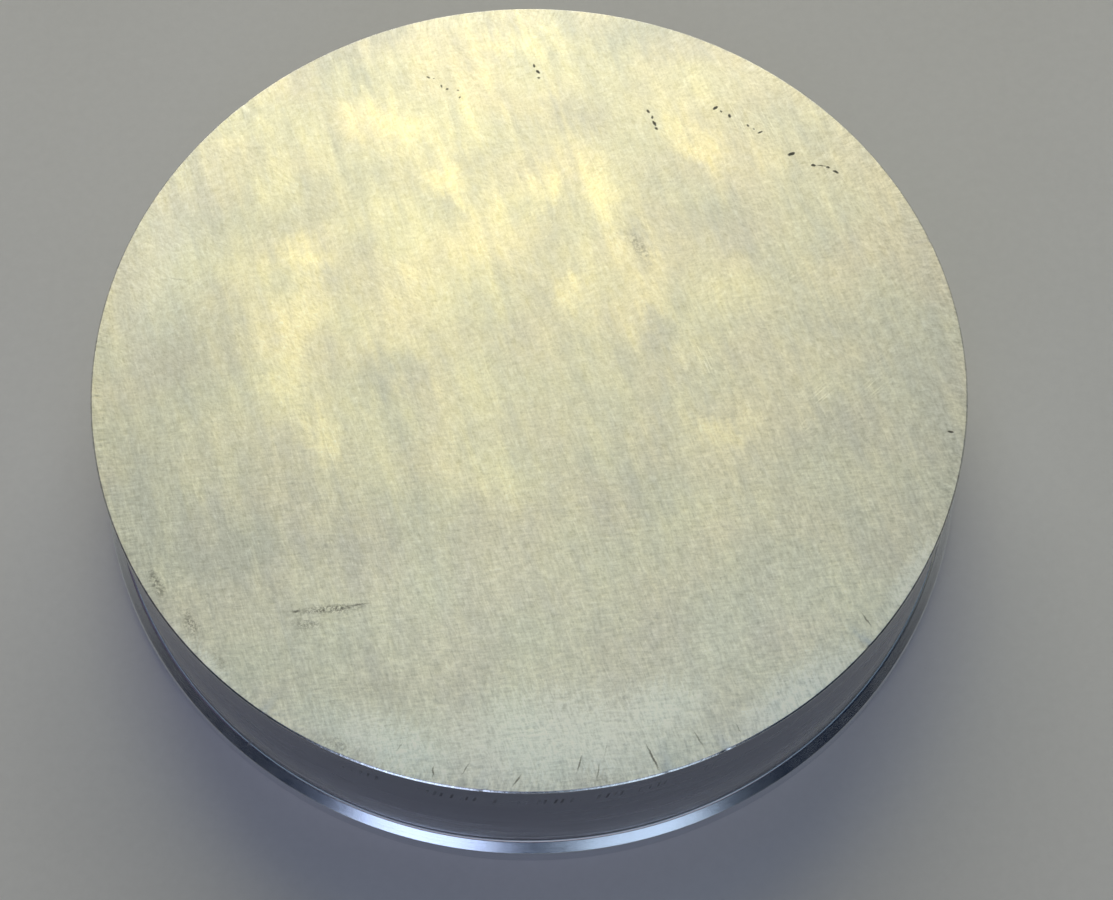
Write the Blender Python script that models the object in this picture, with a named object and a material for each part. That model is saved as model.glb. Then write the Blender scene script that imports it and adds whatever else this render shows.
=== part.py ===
"""Blind flange: a thick round blank, the clamp lip ring pressed onto its foot, and its face seal.

Blender 4.5, metres, +Z up. The flange stands on its sealing face: the origin is the centre of
that face, and +Z runs up the axis that everything is turned about. Nothing on it moves.
"""

from math import copysign, cos, pi, sin

import bmesh
import bpy
from mathutils import Vector

# Driving dimensions
TOTAL_THICKNESS = 0.0200
BLANK_RADIUS = 0.0463
LIP_RADIUS = 0.0475
LIP_RING_HEIGHT = 0.0035
LIP_RIM_HEIGHT = 0.00245
SPIGOT_RADIUS = 0.0410

# The seal gland is a square groove, and the seal lies in it squeezed flush, as when clamped down.
SEAL_MEAN_RADIUS = 0.0349
SEAL_WIDTH = 0.0040
SEAL_HEIGHT = 0.0026
SEAL_RECESS = 0.0002
SEAL_SQUARENESS = 2.6

# Fits and edge breaks
SEAM = 0.0003
RIM_BREAK = 0.00035
FINE_BREAK = 0.00015
GLAND_BREAK = 0.00020

# Tessellation
TURN_STEPS = 96
SEAL_STEPS = 12

SHARP_EDGE_ANGLE = pi / 6


def clear_scene():
    for old in list(bpy.data.objects):
        bpy.data.objects.remove(old, do_unlink=True)


def metal(name, color, roughness, metallic):
    """A Principled material in one plain colour."""
    material = bpy.data.materials.new(name)
    material.use_nodes = True
    shader = material.node_tree.nodes["Principled BSDF"]
    shader.inputs["Base Color"].default_value = (*color, 1.0)
    shader.inputs["Roughness"].default_value = roughness
    shader.inputs["Metallic"].default_value = metallic
    return material


def broken_outline(corners):
    """The outline through (radius, height, edge break) corners, each break cut as a chamfer.

    The break is measured along both sides that meet at the corner. A break of 0 keeps it sharp.
    """
    outline = []
    count = len(corners)
    for index, (radius, height, edge_break) in enumerate(corners):
        corner = Vector((radius, height))
        if edge_break == 0:
            outline.append(corner)
            continue
        before = Vector(corners[index - 1][:2])
        after = Vector(corners[(index + 1) % count][:2])
        outline.append(corner + (before - corner).normalized() * edge_break)
        outline.append(corner + (after - corner).normalized() * edge_break)
    return outline


def turned(name, outline, closed, material):
    """A solid of revolution about +Z, spun from an outline of (radius, height) points.

    An open outline starts and ends on the axis. A closed one is the section of a ring.
    """
    bm = bmesh.new()
    verts = [bm.verts.new((point[0], 0.0, point[1])) for point in outline]
    edges = [bm.edges.new(pair) for pair in zip(verts, verts[1:])]
    if closed:
        edges.append(bm.edges.new((verts[-1], verts[0])))
    bmesh.ops.spin(
        bm,
        geom=verts + edges,
        cent=(0.0, 0.0, 0.0),
        axis=(0.0, 0.0, 1.0),
        angle=2 * pi,
        steps=TURN_STEPS,
        use_merge=True,
    )
    bmesh.ops.remove_doubles(bm, verts=bm.verts[:], dist=1e-6)
    bmesh.ops.recalc_face_normals(bm, faces=bm.faces[:])
    mesh = bpy.data.meshes.new(name)
    bm.to_mesh(mesh)
    bm.free()
    mesh.shade_smooth()
    mesh.set_sharp_from_angle(angle=SHARP_EDGE_ANGLE)
    mesh.materials.append(material)
    piece = bpy.data.objects.new(name, mesh)
    bpy.context.scene.collection.objects.link(piece)
    return piece


def blank_plate(material):
    """The blank: a thick disc with a rebated spigot at its foot and the seal gland in its face."""
    wall_foot = LIP_RING_HEIGHT + SEAM
    gland_half_width = SEAL_WIDTH / 2 + SEAM
    gland_outer = SEAL_MEAN_RADIUS + gland_half_width
    gland_inner = SEAL_MEAN_RADIUS - gland_half_width
    gland_depth = SEAL_RECESS + SEAL_HEIGHT + SEAM
    corners = [
        (0.0, TOTAL_THICKNESS, 0.0),
        (BLANK_RADIUS, TOTAL_THICKNESS, RIM_BREAK),
        (BLANK_RADIUS, wall_foot, FINE_BREAK),
        (SPIGOT_RADIUS, wall_foot, 0.0),
        (SPIGOT_RADIUS, 0.0, FINE_BREAK),
        (gland_outer, 0.0, GLAND_BREAK),
        (gland_outer, gland_depth, 0.0),
        (gland_inner, gland_depth, 0.0),
        (gland_inner, 0.0, GLAND_BREAK),
        (0.0, 0.0, 0.0),
    ]
    return turned("blank_plate", broken_outline(corners), False, material)


def clamp_lip_ring(material):
    """The lip ring: a 45 degree clamping cone over a straight rim, bored to fit the spigot."""
    bore = SPIGOT_RADIUS + SEAM
    cone_top = LIP_RADIUS - (LIP_RING_HEIGHT - LIP_RIM_HEIGHT)
    corners = [
        (bore, LIP_RING_HEIGHT, 0.0),
        (cone_top, LIP_RING_HEIGHT, FINE_BREAK),
        (LIP_RADIUS, LIP_RIM_HEIGHT, FINE_BREAK),
        (LIP_RADIUS, 0.0, FINE_BREAK),
        (bore, 0.0, FINE_BREAK),
    ]
    return turned("clamp_lip_ring", broken_outline(corners), True, material)


def squeezed(value):
    """A sine or cosine pushed outwards, which squares a circle off into a superellipse."""
    return copysign(abs(value) ** (2 / SEAL_SQUARENESS), value)


def face_seal_ring(material):
    """The seal: a rubber ring, squeezed from round towards square, just inside the sealing face."""
    middle = SEAL_RECESS + SEAL_HEIGHT / 2
    outline = []
    for step in range(SEAL_STEPS):
        angle = 2 * pi * step / SEAL_STEPS
        radius = SEAL_MEAN_RADIUS + SEAL_WIDTH / 2 * squeezed(cos(angle))
        height = middle + SEAL_HEIGHT / 2 * squeezed(sin(angle))
        outline.append((radius, height))
    return turned("face_seal_ring", outline, True, material)


def main():
    clear_scene()
    rubbed_aluminium = metal("rubbed_aluminium", (0.62, 0.62, 0.55), 0.42, 1.0)
    turned_aluminium = metal("turned_aluminium", (0.60, 0.63, 0.70), 0.25, 1.0)
    black_rubber = metal("black_rubber", (0.02, 0.02, 0.02), 0.65, 0.0)
    root = bpy.data.objects.new("blind_flange", None)
    bpy.context.scene.collection.objects.link(root)
    pieces = [
        blank_plate(rubbed_aluminium),
        clamp_lip_ring(turned_aluminium),
        face_seal_ring(black_rubber),
    ]
    for piece in pieces:
        piece.parent = root


main()
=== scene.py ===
"""Looks of the blind flange: its turned pieces made fine, their finishes, and a plain studio.

Lengths are metres on the frame's axes: +Z up, the sealing face at height 0, the turning axis on Z.
"""

import logging
from dataclasses import dataclass
from enum import Enum
from functools import cache, reduce
from math import cos, pi, radians, sin
from typing import Any, Sequence

import bpy
import numpy as np
from mathutils import Matrix, Vector


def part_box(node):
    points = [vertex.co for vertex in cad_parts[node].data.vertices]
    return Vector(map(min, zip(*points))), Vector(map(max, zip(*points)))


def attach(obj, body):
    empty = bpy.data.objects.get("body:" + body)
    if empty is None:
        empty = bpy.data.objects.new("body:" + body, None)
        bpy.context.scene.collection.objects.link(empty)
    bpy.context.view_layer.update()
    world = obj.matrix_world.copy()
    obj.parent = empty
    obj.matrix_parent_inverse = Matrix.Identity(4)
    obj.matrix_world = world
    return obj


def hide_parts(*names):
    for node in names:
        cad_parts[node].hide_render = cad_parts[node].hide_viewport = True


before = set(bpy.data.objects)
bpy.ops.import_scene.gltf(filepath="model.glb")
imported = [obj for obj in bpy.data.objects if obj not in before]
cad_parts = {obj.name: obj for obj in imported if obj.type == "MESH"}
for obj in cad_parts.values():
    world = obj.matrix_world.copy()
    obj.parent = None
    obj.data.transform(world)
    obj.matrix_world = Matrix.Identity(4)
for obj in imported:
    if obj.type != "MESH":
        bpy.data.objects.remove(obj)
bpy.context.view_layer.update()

log = logging.getLogger("blind_flange")

MM = 0.001
BODY = "root"
MIDDLE = (0.5, 0.5, 0.5)

Value = Any
"""A number, a tuple, or a node socket that carries one."""

Socket = bpy.types.NodeSocket
Tree = bpy.types.NodeTree
Color = tuple[float, float, float, float]


class Slot(Enum):
    """The record's material slots."""

    RUBBED = "rubbed_aluminium"
    TURNED = "turned_aluminium"
    RUBBER = "black_rubber"


# ---------------------------------------------------------------- node wiring


class Graph:
    """A node tree being wired, one node after the other."""

    COLUMNS = 14
    STEP = (210.0, -330.0)
    UNITS = {"turn": radians, "density": float, "seed": float}
    """How an effect's number is read when it isn't a length in millimetres."""

    def __init__(self, tree: Tree) -> None:
        """Start wiring in a tree, which is emptied first."""
        self.tree = tree
        self.tree.nodes.clear()

    def node(self, kind: str, inputs: dict[Any, Value] | None = None, **settings: Any) -> bpy.types.Node:
        """Add a node.

        Args:
            kind: the node's Blender type.
            inputs: socket names or numbers, with the value or the socket that feeds each.
            **settings: the node's own properties.

        Returns:
            The new node.
        """
        count = len(self.tree.nodes)
        made = self.tree.nodes.new(kind)
        made.location = (self.STEP[0] * (count % self.COLUMNS), self.STEP[1] * (count // self.COLUMNS))
        for name, setting in settings.items():
            setattr(made, name, setting)
        for key, value in (inputs or {}).items():
            self.feed(made.inputs[key], value)
        return made

    def feed(self, socket: Socket, value: Value) -> None:
        """Link a socket to an input, or set the input's own value.

        Args:
            socket: the input.
            value: a node socket, a number or a tuple.
        """
        if isinstance(value, Socket):
            self.tree.links.new(value, socket)
        else:
            socket.default_value = value

    def math(self, operation: str, *values: Value, clamp: bool = False) -> Socket:
        """One step of arithmetic on numbers, whose result is kept between 0 and 1 if it is clamped."""
        inputs = dict(enumerate(values))
        return self.node("ShaderNodeMath", inputs, operation=operation, use_clamp=clamp).outputs[0]

    def fold(self, operation: str, *values: Value) -> Socket:
        """The values folded together by one operation, from the first to the last."""
        return reduce(lambda first, second: self.math(operation, first, second), values)

    def add(self, *values: Value) -> Socket:
        """The sum of the values."""
        return self.fold("ADD", *values)

    def subtract(self, first: Value, second: Value) -> Socket:
        """The first value less the second."""
        return self.math("SUBTRACT", first, second)

    def multiply(self, *values: Value) -> Socket:
        """The product of the values."""
        return self.fold("MULTIPLY", *values)

    def divide(self, first: Value, second: Value) -> Socket:
        """The first value over the second."""
        return self.math("DIVIDE", first, second)

    def scaled(self, value: Value, factor: Value, offset: Value, clamp: bool = False) -> Socket:
        """A value times a factor, plus an offset."""
        return self.math("MULTIPLY_ADD", value, factor, offset, clamp=clamp)

    def vector_math(self, operation: str, *values: Value) -> Socket:
        """One step of arithmetic on vectors: the result is a number for a length, and a vector otherwise."""
        made = self.node("ShaderNodeVectorMath", dict(enumerate(values)), operation=operation)
        return made.outputs["Value" if operation == "LENGTH" else "Vector"]

    def combine(self, x: Value, y: Value, z: Value) -> Socket:
        """A vector from three numbers."""
        return self.node("ShaderNodeCombineXYZ", {0: x, 1: y, 2: z}).outputs[0]

    def separate(self, vector: Value) -> Sequence[Socket]:
        """The three numbers of a vector."""
        return self.node("ShaderNodeSeparateXYZ", {0: vector}).outputs

    def turned(self, vector: Value, angle: Value) -> Socket:
        """A vector turned about Z by an angle in radians."""
        made = self.node("ShaderNodeVectorRotate", {"Vector": vector, "Angle": angle}, rotation_type="Z_AXIS")
        return made.outputs[0]

    def ramp(self, value: Value, low: Value, high: Value, start: Value = 0.0, end: Value = 1.0) -> Socket:
        """A smooth step of a value, from the start where it is low to the end where it is high."""
        inputs = {"Value": value, "From Min": low, "From Max": high, "To Min": start, "To Max": end}
        return self.node("ShaderNodeMapRange", inputs, interpolation_type="SMOOTHSTEP").outputs[0]

    def noise(self, vector: Value, size: float, detail: float = 2.0, roughness: float = 0.5,
              distortion: float = 0.0) -> Socket:
        """Smooth noise from 0 to 1: features of a size, octaves of detail, their roughness, and how far it warps."""
        inputs = dict(Vector=vector, Scale=1.0 / size, Detail=detail, Roughness=roughness, Distortion=distortion)
        return self.node("ShaderNodeTexNoise", inputs).outputs[0]

    def mix(self, factor: Value, first: Value, second: Value) -> Socket:
        """A number between two others, by a factor from 0 to 1."""
        return self.node("ShaderNodeMix", {0: factor, 2: first, 3: second}).outputs[0]

    def mix_color(self, factor: Value, first: Value, second: Value, how: str = "MIX") -> Socket:
        """A colour mixed from two others in a blend mode, by the second's share from 0 to 1."""
        made = self.node("ShaderNodeMix", {0: factor, 6: first, 7: second}, data_type="RGBA", blend_type=how)
        return made.outputs[2]

    def shaded(self, color: Value, shade: Value) -> Socket:
        """A colour times a number."""
        grey = self.node("ShaderNodeCombineColor", {0: shade, 1: shade, 2: shade}).outputs[0]
        return self.mix_color(1.0, color, grey, "MULTIPLY")

    def group(self, tree: Tree, vector: Value, **numbers: float) -> Socket:
        """Place a shared effect.

        Args:
            tree: the effect's node group.
            vector: where it is read.
            **numbers: its numbers: a turn in degrees, a density or a seed as it is, and millimetres otherwise.

        Returns:
            The group's first output.
        """
        made = self.node("ShaderNodeGroup", {"Vector": vector}, node_tree=tree)
        for name, number in numbers.items():
            number = self.UNITS[name](number) if name in self.UNITS else number * MM
            made.inputs[name.capitalize()].default_value = number
        return made.outputs[0]


def effect(name: str, numbers: Sequence[str], output: str,
           kind: str = "NodeSocketFloat") -> tuple[Graph, Sequence[Socket], Socket]:
    """Start a shared effect: a node group with a Vector input, named numbers and one output.

    Args:
        name: the group's name.
        numbers: the names of its number inputs.
        output: the name of its output.
        kind: the output's type.

    Returns:
        The graph to wire, the input sockets in order (Vector first), and the output's socket.
    """
    tree = bpy.data.node_groups.new(name, "ShaderNodeTree")
    tree.interface.new_socket("Vector", in_out="INPUT", socket_type="NodeSocketVector")
    for number in numbers:
        tree.interface.new_socket(number, in_out="INPUT", socket_type="NodeSocketFloat")
    tree.interface.new_socket(output, in_out="OUTPUT", socket_type=kind)
    graph = Graph(tree)
    return graph, graph.node("NodeGroupInput").outputs, graph.node("NodeGroupOutput").inputs[0]


@cache
def scratches() -> Tree:
    """Straight fine scratches, each in a cell of its own.

    The plane is cut into rows of the given spacing and each row into cells of the given length, shifted by
    a random amount. A cell holds a scratch if its random number is under the density. The scratch lies at a
    random height, leans a little and fades at both ends.

    Returns:
        The node group, whose output is the scratches' mask.
    """
    graph, (vector, turn, spacing, length, width, density, seed, _), out = effect(
        "scratches", ("Turn", "Spacing", "Length", "Width", "Density", "Seed"), "Mask")
    x, y, _z = graph.separate(graph.turned(vector, turn))
    rows = graph.divide(y, spacing)
    row = graph.math("FLOOR", rows)
    shift = graph.node("ShaderNodeTexWhiteNoise", {"Vector": graph.combine(row, seed, 0.5)}).outputs["Value"]
    along = graph.scaled(shift, 9.0, graph.divide(x, length))
    cell = graph.math("FLOOR", along)
    random = graph.node("ShaderNodeTexWhiteNoise", {"Vector": graph.combine(row, cell, seed)}).outputs["Color"]
    present, height, lean = graph.node("ShaderNodeSeparateColor", {0: random}).outputs
    position = graph.math("FRACT", along)
    centre = graph.scaled(height, 0.5, 0.25)
    leaned = graph.multiply(graph.subtract(lean, 0.5), graph.subtract(position, 0.5))
    distance = graph.subtract(graph.subtract(graph.math("FRACT", rows), centre), graph.multiply(leaned, 0.45))
    line = graph.ramp(graph.multiply(graph.math("ABSOLUTE", distance), spacing), 0.0, width, 1.0, 0.0)
    ends = graph.math("SINE", graph.multiply(position, pi))
    shown = graph.math("LESS_THAN", present, density)
    graph.feed(out, graph.multiply(line, ends, shown))
    return graph.tree


@cache
def strokes() -> Tree:
    """Short felted strokes, as from rubbing with fine abrasive: noise stretched along one direction.

    Returns:
        The node group, whose output runs from 0 to 1 around 0.5.
    """
    graph, (vector, turn, length, width, seed, _), out = effect(
        "strokes", ("Turn", "Length", "Width", "Seed"), "Value")
    x, y, _z = graph.separate(graph.turned(vector, turn))
    place = graph.combine(graph.divide(x, length), graph.divide(y, width), seed)
    graph.feed(out, graph.noise(place, 1.0, 2.0, 0.6, 0.35))
    return graph.tree


@cache
def wander() -> Tree:
    """Coordinates pushed to and fro along the rubbing direction, which feathers the edges of soft patches.

    The push is noise that is stretched along the same direction, so neighbouring strokes end at different
    places. A smaller push by even noise is added to it.

    Returns:
        The node group, whose output is the moved vector.
    """
    graph, (vector, turn, length, width, reach, ragged, _), out = effect(
        "wander", ("Turn", "Length", "Width", "Reach", "Ragged"), "Vector", "NodeSocketVector")
    x, y, z = graph.separate(graph.turned(vector, turn))
    stretched = graph.combine(graph.divide(x, length), graph.divide(y, width), 7.0)
    push = graph.multiply(graph.subtract(graph.noise(stretched, 1.0, 3.0, 0.65), 0.5), reach)
    brushed = graph.turned(graph.combine(graph.add(x, push), y, z), graph.multiply(turn, -1.0))
    inputs = {"Vector": vector, "Scale": graph.divide(1.0, length), "Detail": 4.0, "Roughness": 0.7}
    even = graph.vector_math("SUBTRACT", graph.node("ShaderNodeTexNoise", inputs).outputs["Color"], MIDDLE)
    even = graph.vector_math("MULTIPLY", even, graph.combine(ragged, ragged, 0.0))
    graph.feed(out, graph.vector_math("ADD", brushed, even))
    return graph.tree


@cache
def specks() -> Tree:
    """Small scattered specks: one in each cell of a Voronoi pattern whose random number is under the density.

    Returns:
        The node group, whose output is the specks' mask.
    """
    graph, (vector, spacing, size, density, _), out = effect("specks", ("Spacing", "Size", "Density"), "Mask")
    inputs = {"Vector": vector, "Scale": graph.divide(1.6, size)}
    bent = graph.node("ShaderNodeTexNoise", inputs).outputs["Color"]
    nudge = graph.vector_math("SCALE", graph.vector_math("SUBTRACT", bent, MIDDLE))
    graph.feed(nudge.node.inputs["Scale"], graph.multiply(size, 2.4))
    place = graph.vector_math("ADD", vector, nudge)
    cells = graph.node("ShaderNodeTexVoronoi", {"Vector": place, "Scale": graph.divide(1.0, spacing)})
    reach = graph.multiply(cells.outputs["Distance"], spacing)
    dot = graph.ramp(reach, graph.multiply(size, 0.3), size, 1.0, 0.0)
    shown = graph.math("LESS_THAN", graph.separate(cells.outputs["Color"])[0], density)
    graph.feed(out, graph.multiply(dot, shown))
    return graph.tree


@cache
def turning() -> Tree:
    """Lathe marks: noise that changes fast across the cut and hardly at all around it.

    The X of the vector is the place across the cut, in metres, and the pitch is the tool's feed.

    Returns:
        The node group, whose output is the marks' height from 0 to 1.
    """
    graph, (vector, pitch, _), out = effect("turning", ("Pitch",), "Height")
    across, y, z = graph.separate(vector)
    place = graph.combine(graph.divide(across, pitch), graph.multiply(y, 14.0), graph.multiply(z, 14.0))
    graph.feed(out, graph.noise(place, 1.0, 4.0, 0.7))
    return graph.tree


# ---------------------------------------------------------------- finishes


@dataclass(frozen=True)
class Patch:
    """A soft place on the outer face, in millimetres from its centre, its turn in degrees.

    Attributes:
        x: how far right it lies.
        y: how far back it lies.
        length: its half length.
        width: its half width.
        turn: the turn of its length from +X, anticlockwise.
        strength: how strong it is.
    """

    x: float
    y: float
    length: float
    width: float
    turn: float = 0.0
    strength: float = 1.0

    def mask(self, graph: Graph, vector: Value) -> Socket:
        """Wire this patch: 1 at its centre and 0 past its edge, times its strength.

        Args:
            graph: the material's graph.
            vector: the coordinates, already pushed about.

        Returns:
            The mask's socket.
        """
        inputs = {"Vector": vector, "Location": (self.x * MM, self.y * MM, 0.0),
                  "Rotation": (0.0, 0.0, radians(self.turn)), "Scale": (self.length * MM, self.width * MM, 1.0)}
        placed = graph.node("ShaderNodeMapping", inputs, vector_type="TEXTURE").outputs[0]
        ball = graph.node("ShaderNodeTexGradient", {"Vector": placed}, gradient_type="SPHERICAL")
        return graph.ramp(ball.outputs["Fac"], 0.0, 1.0, 0.0, self.strength)


def patches(*rows: Sequence[float]) -> tuple[Patch, ...]:
    """Several patches, each from its numbers in the order of Patch's attributes."""
    return tuple(Patch(*row) for row in rows)


def pile(graph: Graph, vector: Value, group: Sequence[Patch]) -> Value:
    """The strongest of several patches' masks."""
    result: Value = 0.0
    for one in group:
        result = graph.math("MAXIMUM", result, one.mask(graph, vector))
    return result


def around_axis(graph: Graph, vector: Value) -> tuple[Socket, Socket]:
    """Polar coordinates about the turning axis.

    Args:
        graph: the material's graph.
        vector: the object coordinates.

    Returns:
        The radius, and the direction from the axis as an angle from -Y, so that its seam is at the back.
    """
    x, y, _z = graph.separate(vector)
    radius = graph.vector_math("LENGTH", graph.combine(x, y, 0.0))
    return radius, graph.math("ARCTAN2", x, graph.multiply(y, -1.0))


@dataclass(frozen=True)
class Skin:
    """What a finish puts into its shader.

    Attributes:
        color: the base colour.
        roughness: the roughness.
        relief: the height that the bump follows.
        strength: the bump's strength.
        depth: the bump's distance, in millimetres.
    """

    color: Value
    roughness: Value
    relief: Value
    strength: float
    depth: float


class Finish:
    """A finish: a material with one Principled shader, wired on the piece's own coordinates."""

    NAME = ""
    METALLIC = 1.0

    def skin(self, graph: Graph, place: Value) -> Skin:
        """Wire the finish, up to its shader.

        Args:
            graph: the material's graph.
            place: the object coordinates.

        Returns:
            What goes into the shader.
        """
        raise NotImplementedError

    def material(self) -> bpy.types.Material:
        """Build the finish.

        Returns:
            The material.
        """
        material = bpy.data.materials.new(self.NAME)
        material.use_nodes = True
        graph = Graph(material.node_tree)
        shader = graph.node("ShaderNodeBsdfPrincipled", {"Metallic": self.METALLIC})
        graph.node("ShaderNodeOutputMaterial", {"Surface": shader.outputs[0]})
        skin = self.skin(graph, graph.node("ShaderNodeTexCoord").outputs["Object"])
        graph.feed(shader.inputs["Base Color"], skin.color)
        graph.feed(shader.inputs["Roughness"], skin.roughness)
        inputs = {"Height": skin.relief, "Strength": skin.strength, "Distance": skin.depth * MM}
        graph.feed(shader.inputs["Normal"], graph.node("ShaderNodeBump", inputs).outputs[0])
        return material


@dataclass(frozen=True)
class RubbedFace(Finish):
    """The outer face: light alloy rubbed by hand with fine abrasive, then handled; its colour also holds a painted
    warm highlight, painted shade, painted glints and a painted bluish reflection.

    Attributes:
        radius: the face's radius.
        bright: the warm colour where the face is brightest, a painted highlight of the warm key lamp.
        dull: the greyer colour away from that painted highlight, where it is matt.
        pale: the colour of the painted bluish reflection of the cool front light.
        dirt: the colour of the smears, pits and nicks.
        tints: the two faint casts that drift across the face.
        roughness: the middle roughness.
        edge_roughness: the roughness of the broken edge.
        edge: how far in from the radius the edge's own roughness starts, and where it is full.
        cloudiness: how much the broad noise and the streaks swing the brightness about its middle.
        middle: the brightness between bright and dull where nothing else changes it.
        smooth_highlight_weight: how much a smooth place adds to the brightness: it lowers the roughness and
            strengthens the painted highlight.
        matt_shade_weight: how much a matt place takes from it: it raises the roughness and darkens the colour as
            painted shade.
        texture_shade: how much the rubbed texture shades the colour.
        rim_shade: how much the marks round the rim shade it.
        glint_lift: how much the fine scratches lighten the colour, as painted glints.
        smooth: places rubbed smoother, also painted brighter with the warm highlight.
        matt: places left duller: rougher, and painted darker as painted shade.
        bluish_sheen: places painted pale bluish, a painted reflection of the cool front light.
        smears: dark smears.
        pits: single small dark pits.
        nicks: single long dark scratches.
        glints: places where the scratches are painted as bright glints.
    """

    radius: float
    bright: Color = (0.94, 0.91, 0.83, 1.0)
    dull: Color = (0.70, 0.706, 0.71, 1.0)
    pale: Color = (0.96, 0.98, 1.0, 1.0)
    dirt: Color = (0.13, 0.13, 0.12, 1.0)
    tints: tuple[Color, Color] = ((1.0, 0.986, 0.978, 1.0), (0.984, 1.0, 0.988, 1.0))
    roughness: float = 0.42
    edge_roughness: float = 0.24
    edge: tuple[float, float] = (0.19 * MM, 0.15 * MM)
    cloudiness: tuple[float, float] = (1.1, 1.0)
    middle: float = 0.42
    smooth_highlight_weight: float = 0.54
    matt_shade_weight: float = 0.42
    texture_shade: float = 0.50
    rim_shade: float = 0.55
    glint_lift: float = 0.10
    smooth: tuple[Patch, ...] = patches(
        (-15, 31.5, 11, 5, -18), (-1.5, 41.5, 9, 3.5, -3, 0.7), (-24, 13.5, 6, 4, 10),
        (-12.5, 13, 3.5, 3.5, 0, 0.8), (-25.5, 2.5, 10, 4, 96), (-22, -7, 5, 3.5, -70), (-9, 23.5, 5, 4.5, 0),
        (8, 22.5, 9, 3.5, -74), (18.5, 27, 6.5, 4, -25), (4, 9.5, 4.5, 3.5, -60, 0.8),
        (12.5, 9.5, 5.5, 3, -40, 0.8), (19.5, -7.5, 6, 3.5, 10, 0.8), (-3, 17, 8, 7, 0, 0.7),
        (17.5, 3, 8, 2.2, -68, 0.6), (-27, 24, 6, 4, 30, 0.5), (-4, -12, 7, 5, 0, 0.35),
        (30, -31, 13, 5.5, 44, 0.5), (-13, 9, 22, 15, 72, 0.42), (-25, 6, 12, 6, 84, 0.75),
        (-8, 30, 14, 6, 60, 0.5), (10, 13, 16, 6, -74, 0.45), (1, 21, 7, 3, 70, 0.9), (22, 10, 7, 5, -50, 0.4),
        (-30, 30, 7, 3, 40, 0.4),
    )
    matt: tuple[Patch, ...] = patches(
        (-15, 0, 6.5, 5.5, 20), (-38, 2, 22, 8, 88, 0.8), (-38, 19, 16, 8, 68, 0.8),
        (-33, -20, 12, 10, -50, 0.9), (40.5, -3, 20, 11, 94, 1), (33, -8, 9, 6, 60, 0.6),
        (-20, -19, 14, 8, 10, 0.8), (12.5, 15.5, 3.4, 2, -64, 0.9), (14, 4, 5, 2.6, -70, 0.7),
        (4, 32.5, 5, 3, 10, 0.5), (10, -14, 7, 5, 0, 0.4), (22, 18, 6, 4, -40, 0.5), (8, -28, 16, 7, 0, 0.3),
        (-40, -12, 12, 6, -70, 0.8), (12, 43, 15, 5, -16, 0.9), (-18, 42, 12, 5, 24, 0.9),
    )
    bluish_sheen: tuple[Patch, ...] = patches(
        (2, -40.5, 22, 8, 3), (5.5, -43.5, 5, 2, -8), (12, -38, 9, 5, 12), (-14, -41, 14, 4.5, -19, 0.9),
        (26, -37, 13, 4.5, 36, 0.95), (38.5, -24.5, 8, 2.4, 57, 0.8), (-33.5, -31.5, 9, 1.4, -46, 0.6),
        (-39.5, 14, 22, 8, 78, 0.5), (-10, -26, 26, 12, 0, 0.25), (20, -30, 22, 9, 30, 0.25),
    )
    smears: tuple[Patch, ...] = patches(
        (-20.5, -26.6, 5.6, 0.65, 4, 0.95), (-22.8, -28.2, 2.4, 0.8, -4, 0.6), (-21.5, -19.8, 2, 0.6, 2, 0.3),
        (-34.6, -27.8, 2.8, 1, -66, 0.75), (-38.3, -23.4, 3, 0.9, -66, 0.7), (-31.5, -32, 2, 0.8, -50, 0.4),
        (-19.6, -40.9, 2.2, 0.8, -24, 0.5), (6, -45.2, 5.2, 0.8, 5, 0.28), (12.2, 14.6, 4.2, 1.2, -62, 0.45),
        (-16, -35, 5, 1.4, 10, 0.18),
    )
    pits: tuple[Patch, ...] = patches(
        (-10.7, 37.1, 0.45, 0.22, -30, 0.7), (-10.1, 36.9, 0.26, 0.18, 20, 0.5),
        (-9.2, 35.9, 0.4, 0.18, -55, 0.6), (-8.6, 35.5, 0.3, 0.22, 10, 0.7), (-7.4, 35.3, 0.34, 0.16, -20, 0.5),
        (-7.2, 34.4, 0.34, 0.18, 50, 0.6), (1.2, 38.4, 0.4, 0.2, -70), (1.6, 37.6, 0.45, 0.26, -50),
        (1.7, 36.8, 0.28, 0.2, 0, 0.8), (13.8, 32.1, 0.48, 0.2, -60, 0.9), (14.2, 31.3, 0.34, 0.2, -70, 0.8),
        (14.4, 30.5, 0.62, 0.24, -62), (14.6, 29.8, 0.34, 0.22, -40, 0.9), (21.3, 32.4, 0.55, 0.26, 38),
        (21.9, 31.9, 0.32, 0.18, -50, 0.7), (22.8, 31.3, 0.42, 0.26, -70), (24.8, 30, 0.34, 0.22, -60, 0.8),
        (25.4, 29.5, 0.3, 0.16, -30, 0.6), (26.1, 29.1, 0.55, 0.2, 28, 0.8), (29.4, 26.2, 0.7, 0.34, 24),
        (31.7, 24.7, 0.45, 0.26, -10, 0.9), (32.6, 24.6, 0.85, 0.12, -8, 0.8),
        (33.3, 24.4, 0.36, 0.2, -10, 0.9), (34.1, 23.8, 0.6, 0.22, -30), (43.9, -8.1, 0.55, 0.2, -14),
    )
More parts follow.
